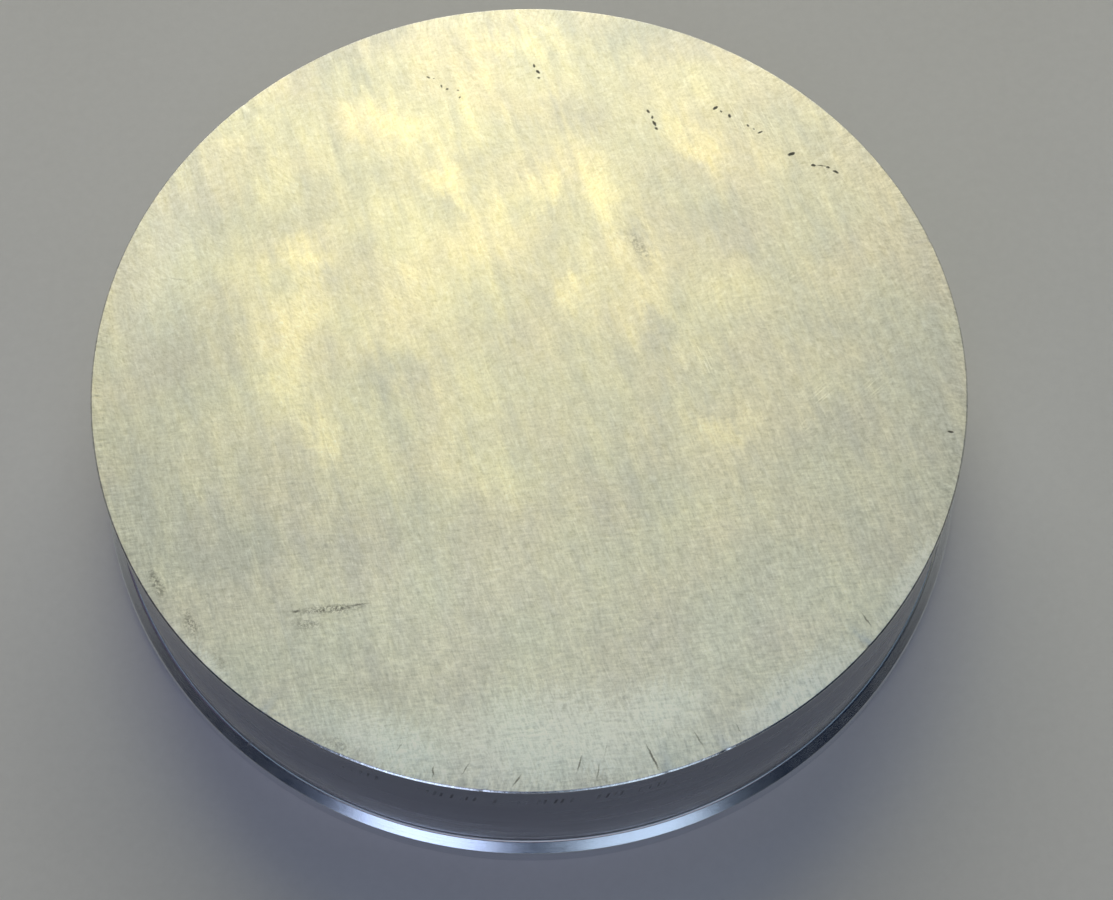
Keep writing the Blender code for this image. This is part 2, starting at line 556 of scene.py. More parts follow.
    nicks: tuple[Patch, ...] = patches(
        (11.4, -42.9, 2.3, 0.16, -66), (4.2, -43.4, 1.6, 0.14, 72, 0.7), (6, -44.3, 1.5, 0.13, 79, 0.6),
        (-2, -45, 1.2, 0.14, 53, 0.8), (-10.2, -43.9, 0.9, 0.14, 88, 0.8), (-7, -43.7, 1.2, 0.13, 57, 0.6),
        (16, -41.1, 1.7, 0.13, -62, 0.6), (33.5, -28.9, 1.6, 0.14, -58, 0.7), (20, -40.1, 1.1, 0.12, -64, 0.5),
        (6.8, -42, 1.4, 0.12, 76, 0.4), (-13.5, -41.3, 1, 0.12, 56, 0.4), (-24, -26.8, 0.7, 0.25, 8, 0.8),
        (-17.8, -26.2, 2, 0.14, 6, 0.7), (-37.6, 11.8, 2.2, 0.1, -12, 0.4),
    )
    glints: tuple[Patch, ...] = patches(
        (18.7, 0.9, 4, 1.3, -66), (30.7, -3.5, 3, 1.6, 56), (36.5, -2.6, 2.8, 1.4, 37),
        (28.8, -7.3, 2.4, 0.9, -70, 0.7), (23.7, 30.8, 6, 1.4, -60, 0.8), (27.3, 29.8, 5, 1.2, -56, 0.8),
        (-34, -14, 4.5, 0.6, -28, 0.5),
    )

    NAME = "rubbed_face"

    def skin(self, graph: Graph, place: Value) -> Skin:
        """Wire the clouded colour with its painted highlight, reflection and glints, the rubbed texture and the
        marks, as Finish.skin says.
        """
        radius, angle = around_axis(graph, place)
        cloud = self.clouds(graph, place)
        texture = self.texture(graph, place)
        rim = self.rim(graph, place, radius, angle)
        dark = self.marks(graph, place)
        # painted highlight and shade: the colour runs from dull grey to the warm colour of the key lamp's highlight
        # as the clouds brighten
        color = graph.mix_color(cloud, self.dull, self.bright)
        # painted reflection: pale bluish places, mostly at the front, stand in for the cool front light's reflection
        moved = graph.group(wander(), place, turn=-78, length=2.4, width=0.4, reach=5, ragged=2)
        sheen_mask = graph.multiply(pile(graph, moved, self.bluish_sheen), 0.95)
        color = graph.mix_color(sheen_mask, color, self.pale)
        drift = graph.noise(place, 9 * MM, 1.0, 0.5)
        tint = graph.mix_color(graph.ramp(drift, 0.3, 0.7), *self.tints)
        color = graph.mix_color(1.0, color, tint, "MULTIPLY")
        # painted glints: the fine scratches only lighten the colour, they have no relief
        bright = graph.multiply(self.hairlines(graph, place), self.glint_lift)
        shade = graph.add(graph.scaled(texture, self.texture_shade, 1.0), graph.scaled(rim, self.rim_shade, bright))
        color = graph.mix_color(dark, graph.shaded(color, shade), self.dirt)
        rough = graph.scaled(cloud, -0.13, self.roughness + 0.07)
        rough = graph.scaled(texture, 0.12, rough)
        rough = graph.scaled(dark, 0.2, rough)
        deburred = graph.ramp(radius, *(self.radius - inset for inset in self.edge))
        rough = graph.mix(deburred, rough, self.edge_roughness)
        return Skin(color, rough, graph.add(texture, rim), strength=0.4, depth=0.02)

    def clouds(self, graph: Graph, place: Value) -> Socket:
        """How bright each place is, from 0 to 1: broad noise, streaks and the named patches, which set both the
        roughness and the painted warm highlight and shade in the colour.
        """
        moved = graph.group(wander(), place, turn=74, length=8, width=1, reach=11, ragged=9)
        # smooth places add painted highlight and matt places painted shade, besides changing the roughness
        smooth = pile(graph, moved, self.smooth)
        matt = pile(graph, moved, self.matt)
        broad = graph.noise(place, 11 * MM, 5.0, 0.7, 0.3)
        streaky = graph.group(strokes(), place, turn=74, length=12, width=1.8, seed=3)
        base = graph.scaled(graph.subtract(broad, 0.5), self.cloudiness[0],
                            graph.scaled(graph.subtract(streaky, 0.5), self.cloudiness[1], self.middle))
        return graph.scaled(matt, -self.matt_shade_weight, graph.scaled(smooth, self.smooth_highlight_weight, base), clamp=True)

    def texture(self, graph: Graph, place: Value) -> Socket:
        """The rubbed texture about 0: fine grain, felted strokes, and a crossed weave where it was rubbed last."""
        def layer(turn: float, length: float, width: float, seed: float) -> Socket:
            """One lay of strokes, about 0."""
            lay = graph.group(strokes(), place, turn=turn, length=length, width=width, seed=seed)
            return graph.subtract(lay, 0.5)

        grain = graph.scaled(graph.noise(place, 0.7 * MM, 4.0, 0.85), 1.5, -0.75)
        drift = graph.ramp(graph.noise(place, 7 * MM, 1.0), 0.35, 0.65)
        steep = layer(74, 1.5, 0.30, 11)
        flat = layer(-5, 1.5, 0.28, 12)
        slanted = graph.mix(drift, layer(-38, 1.0, 0.32, 13), layer(36, 1.0, 0.30, 14))
        crossed = graph.ramp(graph.separate(place)[1], 0.1 * self.radius, -0.4 * self.radius, 0.35, 1.0)
        woven = graph.multiply(graph.add(steep, flat), graph.scaled(crossed, 0.7, 0.3))
        felted = graph.multiply(graph.scaled(steep, 0.35, slanted), graph.scaled(crossed, -0.8, 1.2))
        return graph.add(grain, woven, felted)

    def rim(self, graph: Graph, place: Value, radius: Value, angle: Value) -> Socket:
        """Short slanted marks round the edge, about 0, from breaking it with fine abrasive."""
        unrolled = graph.combine(radius, graph.multiply(angle, self.radius), 0.0)
        sanding = graph.group(strokes(), unrolled, turn=16, length=2.4, width=0.32, seed=6)
        edge = graph.scaled(graph.noise(place, 5 * MM, 2.0), -3.6 * MM, self.radius)
        return graph.multiply(graph.subtract(sanding, 0.5),
                              graph.ramp(graph.subtract(radius, edge), -1.2 * MM, 1.6 * MM))

    def hairlines(self, graph: Graph, place: Value) -> Value:
        """Fine straight scratches in a few directions, painted as lighter lines, thicker together in the places with
        painted glints.
        """
        lines: Value = 0.0
        for turn, spacing, length, density, seed in ((-12, 0.8, 3.6, 0.30, 1), (68, 0.8, 4.2, 0.34, 2),
                                                     (-52, 1.0, 3.2, 0.26, 3)):
            lines = graph.math("MAXIMUM", lines, graph.group(
                scratches(), place, turn=turn, spacing=spacing, length=length, width=0.05, density=density,
                seed=seed))
        close = [graph.group(scratches(), place, turn=turn, spacing=0.42, length=2.6, width=0.10, density=0.8,
                             seed=seed) for turn, seed in ((68, 7), (-42, 8))]
        # the painted glints gather towards the right and the front of the face
        right = graph.ramp(graph.separate(place)[0], 24 * MM, 28 * MM)
        upper = graph.ramp(graph.separate(place)[1], 12 * MM, 8 * MM)
        glint = graph.mix(graph.multiply(right, upper), *close)
        return graph.scaled(graph.multiply(glint, pile(graph, place, self.glints)), 3.2, lines)

    def marks(self, graph: Graph, place: Value) -> Socket:
        """Dark smears, pits and nicks, as one mask from 0 to 1."""
        moved = graph.group(wander(), place, turn=-6, length=0.9, width=0.25, reach=1.6, ragged=0.7)
        grain = graph.noise(place, 0.30 * MM, 3.0, 0.8)
        smear = graph.multiply(pile(graph, moved, self.smears), graph.ramp(grain, 0.40, 0.62))
        bent = graph.group(wander(), place, turn=0, length=0.5, width=0.5, reach=0.25, ragged=0.30)
        pit = graph.ramp(pile(graph, bent, self.pits), 0.15, 0.55)
        nick = graph.multiply(graph.ramp(pile(graph, bent, self.nicks), 0.0, 0.8), 0.8)
        return graph.fold("MAXIMUM", smear, pit, nick)


@dataclass(frozen=True)
class TurnedWall(Finish):
    """The side wall: turned smooth, a little hazy, with a faint row of worn tick marks under its edge; its colour is
    darkened as painted shade and lightened towards its foot as a painted reflection.

    Attributes:
        radius: the wall's radius.
        tick_height: the middle height of the row of ticks.
        color: the metal's colour, darker than the face and the underside of the same blank as painted shade.
        tick_color: the colour of the ticks.
        roughness: the middle roughness.
    """

    radius: float
    tick_height: float
    # painted shade: the wall's metal is darker than the face and the underside of the same blank
    color: Color = (0.38, 0.38, 0.40, 1.0)
    tick_color: Color = (0.11, 0.11, 0.12, 1.0)
    roughness: float = 0.26

    NAME = "turned_wall"

    def skin(self, graph: Graph, place: Value) -> Skin:
        """Wire the lathe rings, the haze, the rubs, the ticks and the painted reflection at the foot, as Finish.skin
        says.
        """
        _radius, angle = around_axis(graph, place)
        x, y, height = graph.separate(place)
        rings = graph.group(turning(), graph.combine(height, x, y), pitch=0.16)
        unrolled = graph.combine(graph.multiply(angle, self.radius), height, 0.0)
        drawn = graph.combine(x, y, graph.multiply(height, 16.0))
        haze = graph.noise(drawn, 22 * MM, 4.0, 0.6, 0.1)
        rubs = graph.group(scratches(), unrolled, turn=4, spacing=0.7, length=9, width=0.05, density=0.25, seed=21)
        ticks = self.ticks(graph, unrolled, angle, height)
        # painted reflection: the colour lightens in hazy streaks towards the foot, where the lip's bright cone would
        # be reflected
        foot = graph.multiply(graph.ramp(height, 13 * MM, 3.6 * MM), haze)
        shade = graph.multiply(graph.scaled(rings, 0.14, 0.93), graph.scaled(haze, 0.56, 0.70),
                               graph.scaled(foot, 0.8, 1.0))
        color = graph.mix_color(ticks, graph.shaded(self.color, shade), self.tick_color)
        rough = graph.scaled(ticks, 0.3, graph.scaled(haze, 0.16, self.roughness - 0.08), clamp=True)
        relief = graph.add(rings, graph.multiply(rubs, -0.8), graph.multiply(ticks, -0.5))
        return Skin(color, rough, relief, strength=0.25, depth=0.01)

    def ticks(self, graph: Graph, unrolled: Value, angle: Value, height: Value) -> Socket:
        """A worn row of plain parallel ticks round the front of the wall, under its top edge."""
        marks = graph.group(scratches(), unrolled, turn=-80, spacing=0.85, length=14, width=0.20, density=0.8,
                            seed=22)
        off = graph.math("ABSOLUTE", graph.subtract(height, self.tick_height))
        band = graph.ramp(off, 0.55 * MM, 0.75 * MM, 1.0, 0.0)
        worn = graph.ramp(graph.noise(unrolled, 6 * MM, 1.0, 0.5), 0.40, 0.62)
        front = graph.ramp(graph.math("ABSOLUTE", graph.add(angle, 0.02)), 0.38, 0.46, 1.0, 0.0)
        return graph.multiply(graph.ramp(marks, 0.05, 0.45), band, worn, front, 0.75)


@dataclass(frozen=True)
class BrightTurned(Finish):
    """The lip ring: bright turned metal with fine feed lines round its cone and rim.

    Attributes:
        color: the metal's colour.
        roughness: the middle roughness.
    """

    color: Color = (0.80, 0.82, 0.85, 1.0)
    roughness: float = 0.24

    NAME = "bright_turned"

    def skin(self, graph: Graph, place: Value) -> Skin:
        """Wire the fine and coarse feed lines, the haze and the stains, as Finish.skin says."""
        radius, _angle = around_axis(graph, place)
        x, y, height = graph.separate(place)
        across = graph.subtract(radius, height)
        fine, coarse = (graph.group(turning(), graph.combine(across, x, y), pitch=pitch) for pitch in (0.05, 0.22))
        haze = graph.noise(place, 3 * MM, 3.0, 0.6)
        stain = graph.group(specks(), place, spacing=2.6, size=0.22, density=0.35)
        shade = graph.multiply(graph.scaled(coarse, 0.30, 0.84), graph.scaled(haze, 0.12, 0.94),
                               graph.scaled(stain, -0.35, 1.0))
        color = graph.shaded(self.color, shade)
        rough = graph.scaled(stain, 0.2, graph.scaled(haze, 0.12, self.roughness - 0.06), clamp=True)
        return Skin(color, rough, graph.add(graph.multiply(fine, 0.5), coarse), strength=0.45, depth=0.012)


@dataclass(frozen=True)
class FacedUnderside(Finish):
    """The sealing face: faced on a lathe, with even rings about the axis.

    Attributes:
        color: the metal's colour.
        roughness: the middle roughness.
        feed: the distance from one ring to the next.
    """

    color: Color = (0.76, 0.77, 0.78, 1.0)
    roughness: float = 0.30
    feed: float = 0.22 * MM

    NAME = "faced_underside"

    def skin(self, graph: Graph, place: Value) -> Skin:
        """Wire the even rings, the haze and the rubs, as Finish.skin says."""
        radius, _angle = around_axis(graph, place)
        x, y, _height = graph.separate(place)
        spiral = graph.math("SINE", graph.multiply(radius, 2 * pi / self.feed))
        rings = graph.group(turning(), graph.combine(radius, x, y), pitch=0.5)
        haze = graph.noise(place, 11 * MM, 4.0, 0.6, 0.5)
        rubs = graph.group(scratches(), place, turn=31, spacing=2.2, length=11, width=0.05, density=0.3, seed=31)
        shade = graph.multiply(graph.scaled(rings, 0.22, 0.88), graph.scaled(haze, 0.22, 0.88))
        color = graph.shaded(self.color, shade)
        rough = graph.scaled(haze, 0.16, self.roughness - 0.08)
        relief = graph.add(graph.multiply(spiral, 0.35), rings, graph.multiply(rubs, -0.6))
        return Skin(color, rough, relief, strength=0.4, depth=0.012)


@dataclass(frozen=True)
class MouldedRubber(Finish):
    """The seal: black moulded rubber, matt, with a faint grey bloom and a few specks of lint.

    Attributes:
        color: the rubber's colour.
        bloom: the colour of the bloom on it.
        lint: the colour of the lint.
        roughness: the middle roughness.
    """

    color: Color = (0.022, 0.022, 0.024, 1.0)
    bloom: Color = (0.075, 0.075, 0.078, 1.0)
    lint: Color = (0.35, 0.34, 0.32, 1.0)
    roughness: float = 0.55

    NAME = "moulded_rubber"
    METALLIC = 0.0

    def skin(self, graph: Graph, place: Value) -> Skin:
        """Wire the bloom, the grain and the lint, as Finish.skin says."""
        haze = graph.ramp(graph.noise(place, 4 * MM, 4.0, 0.65), 0.45, 0.75)
        grain = graph.noise(place, 0.12 * MM, 2.0, 0.6)
        lint = graph.group(specks(), place, spacing=2, size=0.10, density=0.4)
        color = graph.mix_color(lint, graph.mix_color(haze, self.color, self.bloom), self.lint)
        return Skin(color, graph.scaled(haze, 0.2, self.roughness), grain, strength=0.3, depth=0.02)


@dataclass(frozen=True)
class PaleFloor(Finish):
    """The floor: pale matt board with a faint mottle and a few dark flecks.

    Attributes:
        color: the board's colour.
        fleck: the colour of the flecks.
        roughness: its roughness.
    """

    color: Color = (0.76, 0.755, 0.757, 1.0)
    fleck: Color = (0.14, 0.14, 0.14, 1.0)
    roughness: float = 0.9

    NAME = "pale_floor"
    METALLIC = 0.0

    def skin(self, graph: Graph, place: Value) -> Skin:
        """Wire the mottle and the flecks, as Finish.skin says."""
        mottle = graph.noise(place, 1.2 * MM, 4.0, 0.7)
        broad = graph.noise(place, 30 * MM, 3.0, 0.5)
        flecks = graph.group(specks(), place, spacing=9, size=0.22, density=0.16)
        shade = graph.multiply(graph.scaled(mottle, 0.10, 0.95), graph.scaled(broad, 0.06, 0.97))
        color = graph.mix_color(flecks, graph.shaded(self.color, shade), self.fleck)
        return Skin(color, self.roughness, mottle, strength=0.2, depth=0.05)


# ---------------------------------------------------------------- turned surfaces


@dataclass(frozen=True)
class Corner:
    """A corner of a turned outline.

    Attributes:
        radius: its distance from the axis.
        height: its height.
        edge_break: how far back along both sides the corner is rounded off.
        finish: the number of the finish on the stretch that leaves it.
    """

    radius: float
    height: float
    edge_break: float = 0.0
    finish: int = 0


@dataclass(frozen=True)
class Outline:
    """The points of a turned outline, and the finish on the stretch after each point."""

    points: np.ndarray
    finishes: np.ndarray


ARC_STEPS = 6
SHARP_ANGLE = radians(40)
ON_AXIS = 1e-9
"""The radius under which a point counts as lying on the axis."""
SUPPORT = 0.05 * MM
"""How close to the end of a straight stretch an extra point keeps the rounding's shading off the flat."""


def rounded(corners: Sequence[Corner], closed: bool, run: float) -> Outline:
    """The outline through the corners, with its breaks rounded and its straight stretches divided.

    A break is a parabola from one side to the other: (1-s)^2 A + 2 s (1-s) C + s^2 B, where C is the corner,
    A and B lie one edge break away from it along its two sides, and s runs from 0 to 1.

    Args:
        corners: the corners, running outwards over the top, down the outside and in along the bottom.
        closed: whether the last corner joins the first.
        run: the longest stretch left undivided.

    Returns:
        The outline.
    """
    places = np.array([(one.radius, one.height) for one in corners])
    stretches: list[tuple[np.ndarray, int]] = []
    for index, one in enumerate(corners):
        if one.edge_break == 0:
            stretches.append((places[index:index + 1], one.finish))
            continue
        sides = places[[index - 1, (index + 1) % len(corners)]] - places[index]
        start, end = places[index] + one.edge_break * sides / np.linalg.norm(sides, axis=1, keepdims=True)
        s = np.linspace(0.0, 1.0, ARC_STEPS + 1)[:, None]
        stretches.append(((1 - s) ** 2 * start + 2 * s * (1 - s) * places[index] + s ** 2 * end, one.finish))
    points: list[np.ndarray] = []
    finishes: list[np.ndarray] = []
    for index, (arc, finish) in enumerate(stretches):
        before = stretches[index - 1][1]
        points.append(arc)
        finishes.append(np.r_[np.full(len(arc) - 1, before), finish])
        if closed or index + 1 < len(stretches):
            filled = divided(arc[-1], stretches[(index + 1) % len(stretches)][0][0], run)
            points.append(filled)
            finishes.append(np.full(len(filled), finish))
    return Outline(np.concatenate(points), np.concatenate(finishes).astype(np.int32))


def divided(start: np.ndarray, end: np.ndarray, run: float) -> np.ndarray:
    """The points between two ends: one close to each end, and even steps of at most the run between them."""
    length = float(np.linalg.norm(end - start))
    if length < 4 * SUPPORT:
        return np.empty((0, 2))
    inner = np.linspace(SUPPORT, length - SUPPORT, max(2, int(np.ceil(length / run)) + 1))
    return start + (end - start) * (inner / length)[:, None]


def lathe(name: str, outline: Outline, closed: bool, segments: int,
          finishes: Sequence[bpy.types.Material], warp: Any = None) -> bpy.types.Object:
    """A turned piece: the surface (r(t) cos a, r(t) sin a, z(t)), with t along the outline and a round it.

    Args:
        name: the piece's name.
        outline: the outline, whose open ends lie on the axis.
        closed: whether the outline is a closed section, as a ring's is.
        segments: how many steps go round.
        finishes: the materials that the outline's finish numbers mean.
        warp: a function of the (segments, points, 3) grid that returns a changed one, or None.

    Returns:
        The piece, at the origin.
    """
    angle = 2 * pi * np.arange(segments)[:, None] / segments
    radius, height = outline.points.T
    grid = np.stack([radius * np.cos(angle), radius * np.sin(angle),
                     np.broadcast_to(height, (segments, len(height)))], axis=-1)
    if warp is not None:
        grid = warp(grid)
    on_axis = radius < ON_AXIS
    order = np.arange(segments * len(radius)).reshape(segments, len(radius))
    order[:, on_axis] = order[0, on_axis]
    used, place = np.unique(order, return_inverse=True)
    order = place.reshape(order.shape)
    across = np.arange(len(radius) if closed else len(radius) - 1)
    after = (across + 1) % len(radius)
    turn = np.roll(order, -1, axis=0)
    quads = np.stack([order[:, across], order[:, after], turn[:, after], turn[:, across]], axis=-1)
    numbers = np.broadcast_to(outline.finishes[across], quads.shape[:2])
    leaving, reaching = on_axis[across], on_axis[after]
    plain = ~(leaving | reaching)
    faces = [quads[:, plain].reshape(-1, 4), quads[:, leaving][..., :3].reshape(-1, 3),
             quads[:, reaching][..., [0, 1, 3]].reshape(-1, 3)]
    kinds = [numbers[:, which].ravel() for which in (plain, leaving, reaching)]
    mesh = bpy.data.meshes.new(name)
    mesh.from_pydata(grid.reshape(-1, 3)[used].tolist(), [], [face for part in faces for face in part.tolist()])
    for finish in finishes:
        mesh.materials.append(finish)
    mesh.polygons.foreach_set("material_index", np.concatenate(kinds).astype(np.int32))
    mesh.shade_smooth()
    mesh.set_sharp_from_angle(angle=SHARP_ANGLE)
    piece = bpy.data.objects.new(name, mesh)
    bpy.context.scene.collection.objects.link(piece)
    return piece


def keep(piece: bpy.types.Object, node: str) -> None:
    """Let a piece ride on the body and stand for its CAD node.

    Args:
        piece: the finished piece.
        node: the CAD node that it stands for.
    """
    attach(piece, BODY)
    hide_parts(node)
    log.info("%s: %d faces for %s", piece.name, len(piece.data.polygons), node)


def bore_of(node: str) -> float:
    """The smallest distance of a CAD node's points from the axis."""
    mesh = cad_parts[node].data
    points = np.empty(len(mesh.vertices) * 3, np.float32)
    mesh.vertices.foreach_get("co", points)
    return float(np.hypot(*points.reshape(-1, 3)[:, :2].T).min())


# ---------------------------------------------------------------- pieces


SEAM = 0.3 * MM
"""The gap between the blank and each ring fitted to it."""
FACE, WALL, UNDERSIDE = range(3)
"""The blank's finish numbers."""


@dataclass
class Blank:
    """The blank: a thick disc, rubbed on top, turned round its side and faced underneath.

    Attributes:
        radius: the disc's radius.
        top: the height of its outer face.
        foot: the height of its side wall's foot.
        spigot: the radius of the spigot under the wall, which the lip ring fits.
        gland: the inner radius, the outer radius and the depth of the seal's groove.
        run: the longest stretch of its outline left undivided.
        rim_break: how far the top edge is broken.
        fine_break: how far the other edges are broken.
        dub: how much lower hand rubbing left the face just inside its edge.
        dubbed: how far in from the edge the face falls away.
        worn_depth: how far under the outer face the wear reaches.
        dent: the deepest dent's depth.
        dent_width: a dent's half width along the edge.
        dent_reach: how far from the edge a dent fades out.
        tick_drop: how far under the top edge the row of ticks runs.
        segments: how many steps go round.
    """

    radius: float
    top: float
    foot: float
    spigot: float
    gland: tuple[float, float, float]
    run: float = 2.5 * MM
    rim_break: float = 0.16 * MM
    fine_break: float = 0.15 * MM
    dub: float = 0.05 * MM
    dubbed: float = 4 * MM
    worn_depth: float = 0.7 * MM
    dent: float = 0.09 * MM
    dent_width: float = 0.28 * MM
    dent_reach: float = 0.6 * MM
    tick_drop: float = 3.0 * MM
    segments: int = 930

    DENTS = ((-0.115, 0.5), (0.285, 1.0), (0.415, 0.8), (0.815, 1.0), (-0.62, 0.7), (1.9, 0.6), (-2.4, 0.8))
    """Small dents in the top edge: the angle from the front, and the share of the deepest dent."""

    def outline(self) -> Outline:
        """The outline from the middle of the outer face round to the middle of the sealing face."""
        inner, outer, depth = self.gland
        eased = 0.2 * self.rim_break
        corners = [
            Corner(0.0, self.top, 0.0, FACE),
            Corner(self.radius - self.rim_break, self.top, eased, FACE),
            Corner(self.radius, self.top - self.rim_break, eased, WALL),
            Corner(self.radius, self.foot, self.fine_break, UNDERSIDE),
            Corner(self.spigot, self.foot, 0.0, UNDERSIDE),
            Corner(self.spigot, 0.0, self.fine_break, UNDERSIDE),
            Corner(outer, 0.0, self.fine_break, UNDERSIDE),
            Corner(outer, depth, 0.0, UNDERSIDE),
            Corner(inner, depth, 0.0, UNDERSIDE),
            Corner(inner, 0.0, self.fine_break, UNDERSIDE),
            Corner(0.0, 0.0, 0.0, UNDERSIDE),
        ]
        return rounded(corners, False, self.run)

    def worn(self, grid: np.ndarray) -> np.ndarray:
        """Dub the outer face towards its edge, and dent the edge.

        The face falls by dub * u^2, where u runs from 0 to 1 over the dubbed width. A dent pushes the edge in
        and down by dent * exp(-(arc / dent_width)^2) at its angle, faded out within dent_reach of the edge.

        Args:
            grid: the turned grid.

        Returns:
            The worn grid.
        """
        radius = np.hypot(grid[..., 0], grid[..., 1])
        upper = grid[..., 2] > self.top - self.worn_depth
        u = np.clip((radius - (self.radius - self.dubbed)) / self.dubbed, 0.0, 1.0)
        angle = np.arctan2(grid[..., 0], -grid[..., 1])
        depth = np.zeros_like(radius)
        for centre, share in self.DENTS:
            arc = (angle - centre) * self.radius
            depth += share * self.dent * np.exp(-(arc / self.dent_width) ** 2)
        away = np.hypot(radius - self.radius, grid[..., 2] - self.top)
        depth *= np.clip(1.0 - away / self.dent_reach, 0.0, 1.0) * upper
        grid[..., 2] -= np.where(upper, self.dub * u * u, 0.0) + depth
        scale = 1.0 - depth / np.maximum(radius, self.radius / 2)
        grid[..., :2] *= scale[..., None]
        return grid

    def build(self) -> None:
        """Make the blank and dress it."""
        finishes = [finish.material() for finish in (
            RubbedFace(self.radius), TurnedWall(self.radius, self.top - self.tick_drop), FacedUnderside())]
        keep(lathe("blank", self.outline(), False, self.segments, finishes, self.worn), "blank_plate")


@dataclass
class LipRing:
    """The clamp lip ring: a bored ring with a 45 degree cone above a straight rim.

    Attributes:
        radius: the rim's radius.
        bore: the bore's radius.
        height: the ring's height.
        rim_height: the height of the cone's lower edge.
        edge_break: how far its edges are broken.
        run: the longest stretch of its outline left undivided.
        segments: how many steps go round.
    """

    radius: float
    bore: float
    height: float
    rim_height: float = 2.45 * MM
    edge_break: float = 0.15 * MM
    run: float = 0.7 * MM
    segments: int = 1080

    def outline(self) -> Outline:
        """The ring's section, from the bore's top edge outwards and round."""
        cone_top = self.radius - (self.height - self.rim_height)
        corners = [
            Corner(self.bore, self.height),
            Corner(cone_top, self.height, self.edge_break),
            Corner(self.radius, self.rim_height, self.edge_break),
            Corner(self.radius, 0.0, self.edge_break),
            Corner(self.bore, 0.0, self.edge_break),
        ]
        return rounded(corners, True, self.run)

    def build(self) -> None:
        """Make the ring and dress it."""
        piece = lathe("lip_ring", self.outline(), True, self.segments, [BrightTurned().material()])
        keep(piece, "clamp_lip_ring")


@dataclass
class FaceSeal:
    """The rubber ring in the gland, squeezed from round towards square.

    Attributes:
        inner: its inner radius.
        outer: its outer radius.
        low: its lowest height.
        high: its highest height.
        squareness: the power of the superellipse of its section.
        flash: how far the mould's parting line stands out.
        flash_height: how tall the parting line is, roughly.
        steps: how many points the section has.
        segments: how many steps go round.
    """

    inner: float
    outer: float
    low: float
    high: float
    squareness: float = 2.6
    flash: float = 0.03 * MM
    flash_height: float = 0.16 * MM
    steps: int = 72
    segments: int = 480

    def outline(self) -> Outline:
        """The section: a superellipse |x|^p + |z|^p = 1, less the flash, plus a thin ridge at its equator.

        Returns:
            The outline, running clockwise from the top.
        """
        angle = pi / 2 - 2 * pi * np.arange(self.steps) / self.steps
        power = 2.0 / self.squareness
        x, z = (np.sign(wave) * np.abs(wave) ** power for wave in (np.cos(angle), np.sin(angle)))
        ridge = self.flash * np.exp(-(z * (self.high - self.low) / self.flash_height) ** 2)
        half_width = (self.outer - self.inner) / 2 - self.flash
        radius = (self.outer + self.inner) / 2 + x * (half_width + ridge)
        height = (self.high + self.low) / 2 + z * (self.high - self.low) / 2
        return Outline(np.stack([radius, height], axis=-1), np.zeros(len(radius), np.int32))

    def build(self) -> None:
        """Make the seal and dress it."""
        piece = lathe("face_seal", self.outline(), True, self.segments, [MouldedRubber().material()])
        keep(piece, "face_seal_ring")


# ---------------------------------------------------------------- studio


@dataclass(frozen=True)
class Softbox:
    """A rectangular soft light that faces the flange.

    Attributes:
        name: its name.
        bearing: its direction from the flange, in degrees clockwise from the back (+Y) seen from above.
        elevation: its height above the floor, in degrees.
        size: its width and height.
        radiance: how bright its surface is in red, green and blue.
        distance: how far away it is.
    """

    name: str
    bearing: float
    elevation: float
    size: tuple[float, float]
    radiance: tuple[float, float, float]
    distance: float = 1.1

    def build(self) -> None:
        """Hang the light.

        Its power is pi * radiance * area, which is what a flat lamp of that brightness gives off.
        """
        peak = max(self.radiance)
        lamp = bpy.data.lights.new(self.name, "AREA")
        lamp.shape = "RECTANGLE"
        lamp.size, lamp.size_y = self.size
        lamp.energy = peak * pi * self.size[0] * self.size[1]
        lamp.color = [share / peak for share in self.radiance]
        bearing, elevation = radians(self.bearing), radians(self.elevation)
        away = Vector((sin(bearing) * cos(elevation), cos(bearing) * cos(elevation), sin(elevation)))
        light = bpy.data.objects.new(self.name, lamp)
        light.location = away * self.distance
        light.rotation_euler = away.to_track_quat("Z", "Y").to_euler()
        bpy.context.scene.collection.objects.link(light)


